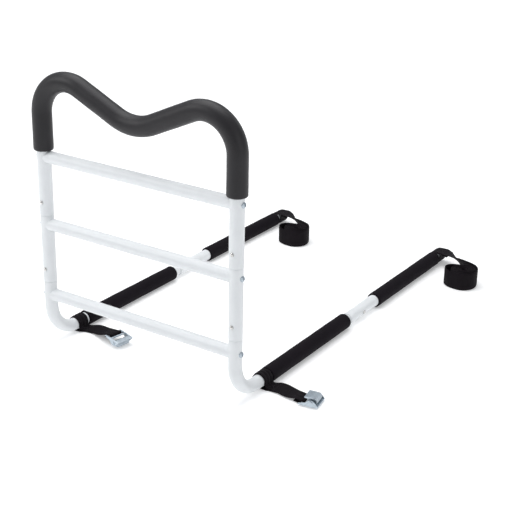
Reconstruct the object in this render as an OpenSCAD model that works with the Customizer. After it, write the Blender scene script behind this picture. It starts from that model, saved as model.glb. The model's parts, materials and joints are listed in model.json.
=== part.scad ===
// Bed assist rail: a steel hand rail with two arms that lie under the mattress, foam sleeves,
// snap-button tube joints and two cam-buckle tie-down straps.
// Frame: +X to the user's right along the cross bars, +Y along the arms under the bed, +Z up.
// The origin is on the floor, at the middle of the rigid frame's width and depth.

/* [Upright frame] */
// Distance between the axes of the two legs
leg_spacing = 412.6; // [380:0.2:460]
// Outer diameter of the hand loop tube
loop_od = 25.4; // [25:0.1:28]
// Outer diameter of the riser tubes
riser_od = 24.4; // [24:0.1:25]
// Outer diameter of the base tubes
base_od = 23.9; // [23.5:0.1:24.4]
// Wall thickness of the steel tubes
tube_wall = 1.2; // [1:0.1:1.4]
// Outer diameter of the cross bars
crossbar_od = 22.5; // [20:0.1:23]
// Height of the top cross bar's axis
top_bar_z = 364.5; // [350:0.5:368]
// Height of the middle cross bar's axis
middle_bar_z = 237.5; // [215:0.5:240]
// Height of the lower cross bar's axis
lower_bar_z = 100; // [95:0.5:110]

/* [Hand loop] */
// Centreline radius of the two shoulder bends
shoulder_r = 63; // [50:1:75]
// Height of the shoulder bends' centres
shoulder_z = 443; // [435:1:480]
// Slope of the tube from each shoulder down to the dip, in degrees
dip_slope = 24.5; // [15:0.5:30]
// Centreline radius of the dip
dip_r = 92; // [70:1:120]
// Outer diameter of the foam hand grip
grip_od = 35.5; // [32:0.5:40]

/* [Telescoping joints] */
// Height of the hand loop tube's lower mouth
loop_mouth_z = 256; // [252:1:262]
// Height of the riser tube's lower mouth
riser_mouth_z = 127; // [122:1:132]
// Distance from a tube's mouth to its snap button
button_rise = 25; // [20:1:30]
// How far a swaged end reaches into the next tube
spigot_length = 50; // [45:1:60]

/* [Base arms] */
// Height of the arms' axes, half the diameter of the sleeves
base_z = 15; // [15:0.5:20]
// Centreline radius of the bend at the foot of each leg
foot_r = 62; // [55:1:66]
// Distance from the legs to the mouth of the extension tube
extension_mouth_y = 381; // [378:1:384]
// Distance from the legs to the rear end of the arms
arm_end_y = 800; // [800:1:840]
// Outer diameter of the extension tube
extension_od = 23.6; // [23.6:0.1:24]

/* [Foam sleeves] */
// Outer diameter of the sleeves
sleeve_od = 30; // [28:0.5:30]
// Length of each sleeve
sleeve_length = 275; // [240:1:276]
// Front end of the left and the right front sleeve
front_sleeve_y = [88, 98]; // [80:1:104]
// Front end of the left and the right rear sleeve
rear_sleeve_y = [486, 489]; // [475:1:495]

/* [Straps] */
// Width of the webbing
webbing_w = 36; // [25:1:38]
// Thickness of the webbing
webbing_t = 1.6; // [1.2:0.1:2]
// Radius of the rolled-up strap
roll_r = 29; // [24:1:32]
// How far the loose outer turn bulges past the roll
roll_bulge = 12; // [0:1:14]

/* [Cam buckles] */
// Width over the side plates
buckle_w = 36; // [34:1:40]
// Thickness of the buckle's sheet steel
buckle_t = 2; // [1.6:0.2:2.2]
// Width of the cam lever
lever_w = 26; // [24:1:28]
// Diameter of the lever's pin
pin_d = 3.5; // [3:0.1:4]

/* [Hidden] */
$fn = 64;

LEFT = -1;
RIGHT = 1;
function side_index(side) = side == LEFT ? 0 : 1;

// Slip between a swaged end and the tube it enters, and between soft pieces and the tubes
slip = 0.1;
soft_gap = 0.05;
leg_x = leg_spacing / 2;
// The rigid frame's depth runs from the front of the grip to the rear end of the arms
frame_mid_y = (arm_end_y - grip_od / 2) / 2;

loop_bore = loop_od - 2 * tube_wall;
riser_bore = riser_od - 2 * tube_wall;
extension_wall = 1.5;
extension_bore = extension_od - 2 * extension_wall;
riser_spigot_od = loop_bore - 2 * slip;
base_spigot_od = riser_bore - 2 * slip;
arm_spigot_od = extension_bore - 2 * slip;
swage_length = 6;
arm_button_y = 430;
bolt_d = 6;
button_d = 6.6;
button_hole_d = 7.2;
collar_d = 9.2;
// The lower end of the foam grip, just above the top cross bar
grip_end_z = top_bar_z + crossbar_od / 2 + 1;

// Loop of webbing round an arm: the radius of its middle, and the angle between its points
strap_loop_r = base_od / 2 + 0.15 + webbing_t / 2;
strap_loop_step = 15;
// Width to which a buckle strap is drawn in round its arm, and a long strap round its arm's end
front_loop_w = 25;
rear_loop_w = 34;
// Where the middle of each strap's loop sits along its arm
front_loop_y = [70, front_sleeve_y[1] - 0.5 - front_loop_w / 2];
rear_loop_y = [780.5, 782.3];
// The free part of a buckle strap: across from the arm, along the arm, height, width
buckle_strap_route = [
    [[13.8, 1, 7.5, 25], [16, 5, 4.3, 28], [20, 10, 2.9, 32], [26, 13, 2.7, 36], [36, 14, 2.9, 36],
     [48, 11.5, 4.3, 36], [61, 7, 7.8, 34], [73, 2, 12.4, 31], [83, -1.8, 16.2, 28]],
    [[13.8, 1, 7.5, 25], [16, 3, 4.3, 28], [20, 6, 2.9, 32], [26, 8, 2.7, 36], [38, 8, 2.7, 36],
     [51, 5.5, 2.5, 36], [63, 2.4, 3.6, 33], [72.5, 0, 5.6, 29], [81, -2, 7.2, 26.5]]
];
// The free part's end, folded back beneath it from the buckle's bar
buckle_strap_flap = [
    [[86, -3, 13.0, 27], [76, 0.6, 9.6, 28]],
    [[84, -2.6, 1.8, 27], [73, -0.4, 1.6, 28]]
];
// The sewn lap that closes the loop, under the free part
buckle_strap_lap = [
    [[36, 14, 1, 34], [26, 13, 1, 34], [20, 10, 1.1, 32], [15, 6, 1.2, 30], [10, 1.5, 1.4, 26],
     [4, 0, 1.9, 25]],
    [[36, 9, 1, 34], [26, 8, 1, 34], [20, 6, 1.1, 32], [15, 3, 1.2, 30], [10, 1, 1.4, 26],
     [4, 0, 1.9, 25]]
];
// The free part of a long strap: across from the arm, along the arm, height, width, twist in degrees
long_strap_route = [
    [10, 0, 28.2, 34, 0], [20, -1, 27.9, 35, 0], [34, -7, 27, 36, 12], [48, -16, 25.6, 36, 28],
    [62, -24, 24.6, 36, 45], [77, -34.5, 23.8, 36, 61], [92, -44.5, 23.2, 36, 76],
    [105, -52.6, 23, 36, 86], [116.2, -59.4, 23, 36, 90]
];
long_strap_lap = [[31, -3, 25.0, 34], [22, -1, 26.0, 34], [15.4, 0, 24.6, 34], [13.6, 0, 20, 34]];
// Roll of spare strap: centre across from the arm and along the arm
roll_place = [[100, 694.8], [100, 696.6]];

// Buckles: place of the base plate under the strap bar, turns about +Y and +Z, upside down or not
buckle_place = [[-112, 66, 18.9], [296.3, 81.5, 1.6]];
buckle_pitch = [8, -1];
buckle_yaw = [-10, 10];
buckle_flipped = [true, false];
strap_bar_d = 4;
strap_bar_z = 3.2;
strap_bar_w = 28;
lever_pin_x = 17;
lever_pin_z = 8;

// ---- shared shapes -------------------------------------------------------------------------

module ring(outer_d, inner_d) {
    difference() {
        circle(d = outer_d);
        circle(d = inner_d);
    }
}

// A straight tube along +Z
module tube(outer_d, inner_d, length) {
    linear_extrude(length) ring(outer_d, inner_d);
}

// Puts a child drawn at an arm's or a leg's axis on that side of the part
module on_side(side) {
    translate([side * leg_x, -frame_mid_y, 0]) children();
}

// The M-shaped path of the hand loop, upward from z. The bends are a hair thinner than the
// straight lengths, which reach a little way over them
module loop_path(outer_d, inner_d, from_z) {
    start_x = leg_x - shoulder_r;
    turn = 90 + dip_slope;
    slope_x = start_x - shoulder_r * sin(dip_slope);
    slope_z = shoulder_z + shoulder_r * cos(dip_slope);
    dip_x = dip_r * sin(dip_slope);
    slope_length = (slope_x - dip_x) / cos(dip_slope);
    dip_centre_z = slope_z - (slope_x - dip_x) * tan(dip_slope) + dip_r * cos(dip_slope);
    lap = 0.5;
    bend_od = outer_d - 0.1;
    bend_id = inner_d - 0.1;
    translate([0, -frame_mid_y, 0]) {
        for (s = [0, 1]) mirror([s, 0, 0]) {
            translate([leg_x, 0, from_z]) tube(outer_d, inner_d, shoulder_z - from_z + lap);
            translate([start_x, 0, shoulder_z]) rotate([90, 0, 0])
                rotate_extrude(angle = turn) translate([shoulder_r, 0]) ring(bend_od, bend_id);
            translate([slope_x, 0, slope_z]) rotate([0, -turn, 0]) translate([0, 0, -lap])
                tube(outer_d, inner_d, slope_length + 2 * lap);
        }
        translate([0, 0, dip_centre_z]) rotate([90, 0, 0]) rotate([0, 0, 270 - dip_slope])
            rotate_extrude(angle = 2 * dip_slope) translate([dip_r, 0]) ring(bend_od, bend_id);
    }
}

// A tube along +Z from z0 whose end is swaged down and enters the next tube's mouth at z1
module swaged_tube(outer_d, inner_d, spigot_d, z0, z1, reach) {
    wall = (outer_d - inner_d) / 2;
    ro = outer_d / 2;
    rs = spigot_d / 2;
    rotate_extrude() polygon([
        [ro, z0], [ro, z1 - 2], [rs, z1], [rs, z1 + reach - 1], [rs - 0.6, z1 + reach],
        [rs - wall, z1 + reach], [rs - wall, z1], [ro - wall, z1 - swage_length], [ro - wall, z0]
    ]);
}

// A hole through a leg's front wall, for a snap button
module front_hole(z) {
    translate([0, 0, z]) rotate([90, 0, 0]) cylinder(d = button_hole_d, h = loop_od);
}

// A hole through both walls of a leg, for a cross bar's bolt
module bolt_hole(z) {
    translate([-loop_od, 0, z]) rotate([0, 90, 0]) cylinder(d = bolt_d, h = 2 * loop_od);
}

// ---- upright frame -------------------------------------------------------------------------

module hand_loop_tube() {
    color("white") difference() {
        loop_path(loop_od, loop_bore, loop_mouth_z);
        for (side = [LEFT, RIGHT]) on_side(side) {
            front_hole(loop_mouth_z + button_rise);
            bolt_hole(top_bar_z);
        }
    }
}

module hand_grip() {
    color("dimgray") loop_path(grip_od, loop_od + 4 * soft_gap, grip_end_z);
}

// A cross bar, coped at both ends to sit against the legs
module crossbar(z, leg_od) {
    color("white") translate([0, -frame_mid_y, 0]) difference() {
        translate([-leg_x, 0, z]) rotate([0, 90, 0])
            tube(crossbar_od, crossbar_od - 2 * tube_wall, 2 * leg_x);
        for (side = [LEFT, RIGHT])
            translate([side * leg_x, 0, z - crossbar_od]) cylinder(d = leg_od, h = 2 * crossbar_od);
    }
}

module top_crossbar() { crossbar(top_bar_z, loop_od); }
module middle_crossbar() { crossbar(middle_bar_z, riser_od); }
module lower_crossbar() { crossbar(lower_bar_z, base_od); }

module riser_tube(side) {
    color("white") on_side(side) difference() {
        swaged_tube(riser_od, riser_bore, riser_spigot_od, riser_mouth_z, loop_mouth_z, spigot_length);
        front_hole(loop_mouth_z + button_rise);
        front_hole(riser_mouth_z + button_rise);
        bolt_hole(middle_bar_z);
    }
}

module left_riser_tube() { riser_tube(LEFT); }
module right_riser_tube() { riser_tube(RIGHT); }

// The threaded insert in a cross bar's end, drawn with the leg's axis at the origin
module insert(side, z, leg_od) {
    insert_length = 24;
    color("gray") on_side(side) mirror([side == LEFT ? 0 : 1, 0, 0])
        translate([leg_od / 2 + 1, 0, z]) rotate([0, 90, 0])
            tube(crossbar_od - 2 * tube_wall, bolt_d, insert_length);
}

module left_top_insert() { insert(LEFT, top_bar_z, loop_od); }
module right_top_insert() { insert(RIGHT, top_bar_z, loop_od); }
module left_middle_insert() { insert(LEFT, middle_bar_z, riser_od); }
module right_middle_insert() { insert(RIGHT, middle_bar_z, riser_od); }
module left_lower_insert() { insert(LEFT, lower_bar_z, base_od); }
module right_lower_insert() { insert(RIGHT, lower_bar_z, base_od); }

// A domed hex-socket bolt through a leg into the insert; its washer is saddled to the leg
module bolt(side, z, leg_od) {
    head_d = 10.4;
    head_h = 2.4;
    flange_h = 1;
    saddle = 1.4;
    reach = leg_od + 20;
    cap_r = (pow(head_d / 2, 2) + head_h * head_h) / (2 * head_h);
    color("lightsteelblue") on_side(side) mirror([side == LEFT ? 0 : 1, 0, 0])
        difference() {
            union() {
                translate([-leg_od / 2, 0, z]) rotate([0, 90, 0]) cylinder(d = bolt_d, h = reach);
                difference() {
                    translate([-leg_od / 2, 0, z]) rotate([0, -90, 0]) {
                        translate([0, 0, -saddle]) cylinder(d = head_d, h = saddle + flange_h);
                        translate([0, 0, flange_h]) intersection() {
                            cylinder(d = head_d, h = head_h);
                            translate([0, 0, head_h - cap_r]) sphere(r = cap_r);
                        }
                    }
                    translate([0, 0, z - head_d]) cylinder(d = leg_od, h = 2 * head_d);
                }
            }
            translate([-leg_od / 2 - flange_h - 0.6, 0, z]) rotate([0, -90, 0])
                cylinder(d = 4.6, h = head_h, $fn = 6);
        }
}

module left_top_bolt() { bolt(LEFT, top_bar_z, loop_od); }
module right_top_bolt() { bolt(RIGHT, top_bar_z, loop_od); }
module left_middle_bolt() { bolt(LEFT, middle_bar_z, riser_od); }
module right_middle_bolt() { bolt(RIGHT, middle_bar_z, riser_od); }
module left_lower_bolt() { bolt(LEFT, lower_bar_z, base_od); }
module right_lower_bolt() { bolt(RIGHT, lower_bar_z, base_od); }

// ---- base arms -----------------------------------------------------------------------------

// Leg foot and front arm in one bent tube, swaged at both ends
module base_tube(side) {
    bore = base_od - 2 * tube_wall;
    bend_top = base_z + foot_r;
    neck_y = front_sleeve_y[0] + sleeve_length - 3;
    color("white") on_side(side) difference() {
        union() {
            swaged_tube(base_od, bore, base_spigot_od, bend_top, riser_mouth_z, spigot_length);
            translate([0, foot_r, bend_top]) rotate([90, 0, 90]) rotate([0, 0, 180])
                rotate_extrude(angle = 90) translate([foot_r, 0]) ring(base_od, bore);
            translate([0, 0, base_z]) rotate([-90, 0, 0])
                swaged_tube(base_od, bore, arm_spigot_od, foot_r, neck_y,
                            arm_button_y + button_rise - neck_y);
        }
        front_hole(riser_mouth_z + button_rise);
        bolt_hole(lower_bar_z);
        arm_button_hole(side);
    }
}

module left_base_tube() { base_tube(LEFT); }
module right_base_tube() { base_tube(RIGHT); }

// A hole through an arm's outer wall, for a snap button
module arm_button_hole(side) {
    translate([0, arm_button_y, base_z]) rotate([0, side * 90, 0])
        cylinder(d = button_hole_d, h = loop_od);
}

module extension_tube(side) {
    color("white") on_side(side) difference() {
        translate([0, extension_mouth_y, base_z]) rotate([-90, 0, 0])
            tube(extension_od, extension_bore, arm_end_y - 3 - extension_mouth_y);
        arm_button_hole(side);
    }
}

module left_extension_tube() { extension_tube(LEFT); }
module right_extension_tube() { extension_tube(RIGHT); }

// The ribbed plastic plug in an arm's rear end
module end_plug(side) {
    plug_length = 18;
    cap_h = 3;
    color("black") on_side(side) translate([0, arm_end_y - cap_h, base_z]) rotate([-90, 0, 0]) {
        rotate_extrude() polygon([
            [0, 0], [extension_od / 2, 0], [extension_od / 2, cap_h - 1],
            [extension_od / 2 - 1, cap_h], [0, cap_h]
        ]);
        translate([0, 0, -plug_length])
            tube(extension_bore - 2 * slip, extension_bore - 5, plug_length);
    }
}

module left_end_plug() { end_plug(LEFT); }
module right_end_plug() { end_plug(RIGHT); }

module sleeve(side, from_y, bore_d) {
    color("#24222a") on_side(side) translate([0, from_y, base_z]) rotate([-90, 0, 0])
        tube(sleeve_od, bore_d + 2 * soft_gap, sleeve_length);
}

module left_front_sleeve() { sleeve(LEFT, front_sleeve_y[0], base_od); }
module right_front_sleeve() { sleeve(RIGHT, front_sleeve_y[1], base_od); }
module left_rear_sleeve() { sleeve(LEFT, rear_sleeve_y[0], extension_od); }
module right_rear_sleeve() { sleeve(RIGHT, rear_sleeve_y[1], extension_od); }

// ---- snap buttons --------------------------------------------------------------------------
// Drawn with the button's axis along +X and the tube's axis along +Z, then put in place

// Height, measured from the tube's axis, of the collar that stops the button inside the wall
function collar_top(bore_d) = sqrt(pow(bore_d / 2, 2) - pow(collar_d / 2, 2)) - 0.3;

// The domed button, its collar and the free tongue of its leaf spring
module snap_button(bore_d, outer_d) {
    dome_h = 1.8;
    shank_top = outer_d / 2 + 1;
    collar_t = 0.8;
    tongue_w = 6;
    tongue_length = 14;
    dome_r = (pow(button_d / 2, 2) + dome_h * dome_h) / (2 * dome_h);
    top = collar_top(bore_d);
    color("silver") {
        rotate([0, 90, 0]) {
            translate([0, 0, top - collar_t]) cylinder(d = collar_d, h = collar_t);
            translate([0, 0, top - collar_t]) cylinder(d = button_d, h = shank_top - top + collar_t);
            translate([0, 0, shank_top]) intersection() {
                cylinder(d = button_d, h = dome_h);
                translate([0, 0, dome_h - dome_r]) sphere(r = dome_r);
            }
        }
        translate([top - collar_t, -tongue_w / 2, -tongue_length])
            cube([collar_t, tongue_w, tongue_length]);
    }
}

// The fixed leg and the hairpin of the leaf spring, one bent strip
module snap_clip(bore_d) {
    leaf_w = 6;
    leaf_t = 0.8;
    hairpin_r = 2.4;
    hairpin_z = -29;
    fixed_top = 6;
    free_leg = 12;
    free_tilt = 24;
    back_x = -sqrt(pow(bore_d / 2, 2) - pow(leaf_w / 2, 2)) + soft_gap;
    outside = [for (a = [180:15:360]) [hairpin_r * (1 + cos(a)), hairpin_z + hairpin_r * sin(a)]];
    inside = [for (a = [360:-15:180])
        [hairpin_r + (hairpin_r - leaf_t) * cos(a), hairpin_z + (hairpin_r - leaf_t) * sin(a)]];
    tip = free_leg * [sin(free_tilt), cos(free_tilt)];
    color("silver") translate([back_x, leaf_w / 2, 0]) rotate([90, 0, 0]) linear_extrude(leaf_w)
        polygon(concat([[0, fixed_top]], outside, [[2 * hairpin_r, hairpin_z] + tip],
                       [[2 * hairpin_r - leaf_t, hairpin_z] + tip], inside, [[leaf_t, fixed_top]]));
}

// Where the two upright snap joints of a leg and the one of an arm are
module at_upright_button(side, mouth_z) {
    on_side(side) translate([0, 0, mouth_z + button_rise]) rotate([0, 0, -90]) children();
}

module at_arm_button(side) {
    on_side(side) translate([0, arm_button_y, base_z]) mirror([side == LEFT ? 1 : 0, 0, 0])
        rotate([-90, 0, 0]) children();
}

riser_spigot_bore = riser_spigot_od - 2 * tube_wall;
base_spigot_bore = base_spigot_od - 2 * tube_wall;
arm_spigot_bore = arm_spigot_od - 2 * tube_wall;

module left_upper_clip() { at_upright_button(LEFT, loop_mouth_z) snap_clip(riser_spigot_bore); }
module right_upper_clip() { at_upright_button(RIGHT, loop_mouth_z) snap_clip(riser_spigot_bore); }
module left_lower_clip() { at_upright_button(LEFT, riser_mouth_z) snap_clip(base_spigot_bore); }
module right_lower_clip() { at_upright_button(RIGHT, riser_mouth_z) snap_clip(base_spigot_bore); }
module left_arm_clip() { at_arm_button(LEFT) snap_clip(arm_spigot_bore); }
module right_arm_clip() { at_arm_button(RIGHT) snap_clip(arm_spigot_bore); }

module upper_button(side) {
    at_upright_button(side, loop_mouth_z) snap_button(riser_spigot_bore, loop_od);
}
module lower_button(side) {
    at_upright_button(side, riser_mouth_z) snap_button(base_spigot_bore, riser_od);
}
module arm_button(side) {
    at_arm_button(side) snap_button(arm_spigot_bore, extension_od);
}
module left_upper_button() { upper_button(LEFT); }
module right_upper_button() { upper_button(RIGHT); }
module left_lower_button() { lower_button(LEFT); }
module right_lower_button() { lower_button(RIGHT); }
module left_arm_button() { arm_button(LEFT); }
module right_arm_button() { arm_button(RIGHT); }

// ---- straps --------------------------------------------------------------------------------

function unit(v) = v / norm(v);

// A row of a strap's route: its point, the direction of its width, and its width
function flat_row(p) = [[p[0], p[1], p[2]], [0, 1, 0], p[3]];
function twisted_row(p) = [[p[0], p[1], p[2]], [0, cos(p[4]), -sin(p[4])], p[3]];

// The rows of the loop round an arm, from one angle to another, from +X towards +Z
function loop_rows(from, to, w) = [for (a = [from:strap_loop_step * sign(to - from):to])
    [[strap_loop_r * cos(a), 0, base_z + strap_loop_r * sin(a)], [0, 1, 0], w]];

// The rows with their points moved
function moved(rows, by) = [for (r = rows) [r[0] + by, r[1], r[2]]];

// A direction turned as buckle i is
function turned(v, i) =
    let(
        p = buckle_pitch[i],
        y = buckle_yaw[i],
        a = [v[0] * cos(p) + v[2] * sin(p), v[1], v[2] * cos(p) - v[0] * sin(p)]
    )
    [a[0] * cos(y) - a[1] * sin(y), a[0] * sin(y) + a[1] * cos(y), a[2]];

// The rows that carry a strap over its buckle's bar and round it
function bar_rows(i) =
    let(
        r = strap_bar_d / 2 + 0.15 + webbing_t / 2,
        bar_z = buckle_flipped[i] ? -strap_bar_z : strap_bar_z,
        round = [for (a = [120:-30:-90]) [r * cos(a), 0, bar_z + r * sin(a)]]
    )
    [for (p = round) [buckle_place[i] + turned(p, i), turned([0, 1, 0], i), strap_bar_w]];

// The four corners of the webbing at row i
function corners(rows, i) =
    let(
        t = unit(rows[min(i + 1, len(rows) - 1)][0] - rows[max(i - 1, 0)][0]),
        s = rows[i][1],
        n = unit(cross(t, s))
    )
    [for (c = [[-1, -1], [1, -1], [1, 1], [-1, 1]])
        rows[i][0] + s * c[0] * rows[i][2] / 2 + n * c[1] * webbing_t / 2];

// Flat webbing along the rows of a route
module webbing(rows) {
    count = len(rows);
    points = [for (i = [0:count - 1]) each corners(rows, i)];
    sides = [for (i = [0:count - 2]) for (k = [0:3])
        each [[4 * i + k, 4 * i + (k + 1) % 4, 4 * i + 4 + (k + 1) % 4],
              [4 * i + k, 4 * i + 4 + (k + 1) % 4, 4 * i + 4 + k]]];
    last = 4 * (count - 1);
    ends = [[2, 1, 0], [3, 2, 0], [last, last + 1, last + 2], [last, last + 2, last + 3]];
    polyhedron(points, concat(ends, sides));
}

// A short strap: sewn loop round the arm, free part on the floor, fold over the buckle's bar
module buckle_strap(side) {
    i = side_index(side);
    at_arm = concat([for (p = buckle_strap_lap[i]) flat_row(p)], loop_rows(255, -15, front_loop_w),
                    [for (p = buckle_strap_route[i]) flat_row(p)]);
    color("#1e1c20") translate([0, -frame_mid_y, 0])
        webbing(concat(moved(at_arm, [side * leg_x, front_loop_y[i], 0]), bar_rows(i),
                       moved([for (p = buckle_strap_flap[i]) flat_row(p)],
                             [side * leg_x, front_loop_y[i], 0])));
}

module left_buckle_strap() { buckle_strap(LEFT); }
module right_buckle_strap() { buckle_strap(RIGHT); }

// A long strap: sewn loop round the arm's rear end, and the run that twists down to its roll
module long_strap(side) {
    rows = concat([for (p = long_strap_lap) flat_row(p)], loop_rows(0, -270, rear_loop_w),
                  [for (p = long_strap_route) twisted_row(p)]);
    color("#1e1c20") translate([0, -frame_mid_y, 0])
        webbing(moved(rows, [side * leg_x, rear_loop_y[side_index(side)], 0]));
}

module left_long_strap() { long_strap(LEFT); }
module right_long_strap() { long_strap(RIGHT); }

// The spare strap, rolled up and standing on the floor, with its loose outer turn
module strap_roll(side) {
    place = roll_place[side_index(side)];
    color("#1e1c20") translate([side * leg_x + place[0], place[1] - frame_mid_y, 0.2]) {
        cylinder(r = roll_r, h = webbing_w);
        translate([-roll_bulge, 0, 0]) cylinder(r = roll_r, h = webbing_w);
    }
}

module left_strap_roll() { strap_roll(LEFT); }
module right_strap_roll() { strap_roll(RIGHT); }

// ---- cam buckles ---------------------------------------------------------------------------
// Drawn with the strap bar over the origin, +X towards the nose and the base plate on z = 0

module at_buckle(side) {
    i = side_index(side);
    translate([0, -frame_mid_y, 0]) translate(buckle_place[i]) rotate([0, buckle_pitch[i], buckle_yaw[i]])
        rotate([buckle_flipped[i] ? 180 : 0, 0, 0]) children();
}

module buckle_frame(side) {
    cheek_y = buckle_w / 2 - buckle_t;
    color("lightslategray") at_buckle(side) {
        for (s = [-1, 1]) translate([0, s > 0 ? buckle_w / 2 : -cheek_y, 0]) rotate([90, 0, 0])
            linear_extrude(buckle_t) difference() {
                polygon([[-7, 1.4], [-7, 3.2], [0, 5.4], [6, 6.2], [11, 10.6], [17, 12], [23, 10.6],
                         [27.5, 4.6], [29.5, 2], [29.5, 0], [6, 0]]);
                translate([lever_pin_x, lever_pin_z]) circle(d = pin_d);
            }
        translate([0, cheek_y, strap_bar_z]) rotate([90, 0, 0]) cylinder(d = strap_bar_d, h = 2 * cheek_y);
        translate([7.5, -cheek_y, 0]) cube([3, 2 * cheek_y, buckle_t]);
        translate([20.5, -cheek_y, 0]) cube([9, 2 * cheek_y, buckle_t]);
    }
}

module left_buckle_frame() { buckle_frame(LEFT); }
module right_buckle_frame() { buckle_frame(RIGHT); }

// The lever's side outline: a thumb plate that curls down into a toothed nose
module lever_outline() {
    nose = [20.5, 8.9];
    nose_r = 5.9;
    tooth = 0.6;
    teeth = 7;
    step = 12;
    arc = [for (i = [0:2 * teeth]) let(a = 75 - i * step, r = nose_r + (i % 2) * tooth)
        nose + [r * cos(a), r * sin(a)]];
    difference() {
        polygon(concat([[3.4, 13.2], [3, 14.6], [4, 15.4], [14, 15.3]], arc, [[16.5, 4.2], [11.5, 10.6]]));
        translate(nose + [-0.5, -0.5]) circle(r = 3.6);
        translate([lever_pin_x, lever_pin_z]) circle(r = 2.8);
        translate([3, 2]) square([14.5, 8.8]);
    }
}

module cam_lever(side) {
    ear_t = 2;
    color("silver") at_buckle(side) difference() {
        union() {
            translate([0, lever_w / 2, 0]) rotate([90, 0, 0]) linear_extrude(lever_w) lever_outline();
            for (y = [lever_w / 2, -lever_w / 2 + ear_t]) translate([0, y, 0]) rotate([90, 0, 0])
                linear_extrude(ear_t) polygon([[7.5, 12.8], [13, 5.6], [18.5, 4.6], [23.5, 7.6], [22.5, 13]]);
        }
        translate([lever_pin_x, buckle_w, lever_pin_z]) rotate([90, 0, 0])
            cylinder(d = pin_d + 0.1, h = 2 * buckle_w);
    }
}

module left_cam_lever() { cam_lever(LEFT); }
module right_cam_lever() { cam_lever(RIGHT); }

// The pin, with a formed head outside each side plate
module lever_pin(side) {
    head_h = 1.2;
    head_d = 6.2;
    color("gray") at_buckle(side) translate([lever_pin_x, 0, lever_pin_z]) rotate([90, 0, 0]) {
        cylinder(d = pin_d, h = buckle_w, center = true);
        for (s = [-1, 1]) translate([0, 0, s * (buckle_w + head_h) / 2])
            cylinder(d = head_d, h = head_h, center = true);
    }
}

module left_lever_pin() { lever_pin(LEFT); }
module right_lever_pin() { lever_pin(RIGHT); }

// The torsion spring round the pin, between the lever's ears
module lever_spring(side) {
    spring_w = 14;
    color("gray") at_buckle(side) translate([lever_pin_x, spring_w / 2, lever_pin_z])
        rotate([90, 0, 0]) tube(pin_d + 1.4, pin_d + 0.2, spring_w);
}

module left_lever_spring() { lever_spring(LEFT); }
module right_lever_spring() { lever_spring(RIGHT); }

hand_loop_tube();
hand_grip();
top_crossbar();
middle_crossbar();
lower_crossbar();
left_riser_tube();
right_riser_tube();
left_base_tube();
right_base_tube();
left_extension_tube();
right_extension_tube();
left_front_sleeve();
right_front_sleeve();
left_rear_sleeve();
right_rear_sleeve();
left_end_plug();
right_end_plug();
left_top_bolt();
right_top_bolt();
left_middle_bolt();
right_middle_bolt();
left_lower_bolt();
right_lower_bolt();
left_top_insert();
right_top_insert();
left_middle_insert();
right_middle_insert();
left_lower_insert();
right_lower_insert();
left_upper_clip();
right_upper_clip();
left_lower_clip();
right_lower_clip();
left_arm_clip();
right_arm_clip();
left_upper_button();
right_upper_button();
left_lower_button();
right_lower_button();
left_arm_button();
right_arm_button();
left_buckle_strap();
right_buckle_strap();
left_long_strap();
right_long_strap();
left_strap_roll();
right_strap_roll();
left_buckle_frame();
right_buckle_frame();
left_cam_lever();
right_cam_lever();
left_lever_pin();
right_lever_pin();
left_lever_spring();
right_lever_spring();
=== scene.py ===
"""Looks of a bed assist rail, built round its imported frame: foam, webbing, buckles and finishes."""

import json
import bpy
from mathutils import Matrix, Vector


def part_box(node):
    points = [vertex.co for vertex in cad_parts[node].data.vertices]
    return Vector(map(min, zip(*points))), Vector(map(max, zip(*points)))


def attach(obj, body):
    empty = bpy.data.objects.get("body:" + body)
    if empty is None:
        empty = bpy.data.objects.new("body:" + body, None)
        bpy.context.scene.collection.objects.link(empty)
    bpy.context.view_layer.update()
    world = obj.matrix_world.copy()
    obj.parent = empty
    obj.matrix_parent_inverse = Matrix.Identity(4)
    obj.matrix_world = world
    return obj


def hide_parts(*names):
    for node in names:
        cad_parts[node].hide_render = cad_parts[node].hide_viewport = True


bl_info = {
    "name": "Bed Assist Rail",
    "version": (1, 0, 0),
    "blender": (4, 5, 0),
    "location": "View3D > Sidebar > Rail",
    "description": "Builds the foam, straps, buckles and finishes of a bed assist rail",
    "category": "Object",
}

import bpy
import numpy as np
from bpy.props import FloatProperty, FloatVectorProperty, PointerProperty
from mathutils import Matrix

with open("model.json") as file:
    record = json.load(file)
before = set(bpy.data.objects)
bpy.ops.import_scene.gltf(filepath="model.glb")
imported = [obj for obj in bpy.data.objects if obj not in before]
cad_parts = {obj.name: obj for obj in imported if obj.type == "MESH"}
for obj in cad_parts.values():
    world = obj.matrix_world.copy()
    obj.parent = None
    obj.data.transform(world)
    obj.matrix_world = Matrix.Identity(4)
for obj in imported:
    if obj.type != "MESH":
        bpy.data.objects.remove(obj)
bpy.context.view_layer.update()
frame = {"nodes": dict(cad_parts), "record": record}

MM = 0.001
SIDES = ("left", "right")


def box(node):
    """The lowest and highest corner of a CAD node, as arrays."""
    low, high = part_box(node)
    return np.array(low), np.array(high)


def middle(node):
    """The middle of a CAD node's box."""
    low, high = box(node)
    return (low + high) / 2


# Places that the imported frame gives, in metres
LEG_X = middle("right_extension_tube")[0]
ARM_Z = middle("right_extension_tube")[2]
LEG_Y = middle("right_riser_tube")[1]
LOOP_TUBE_R = (box("hand_loop_tube")[1][1] - box("hand_loop_tube")[0][1]) / 2
ARM_R = {"front": 11.95 * MM, "rear": 11.8 * MM}
SIGN = {"left": -1, "right": 1}

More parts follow.
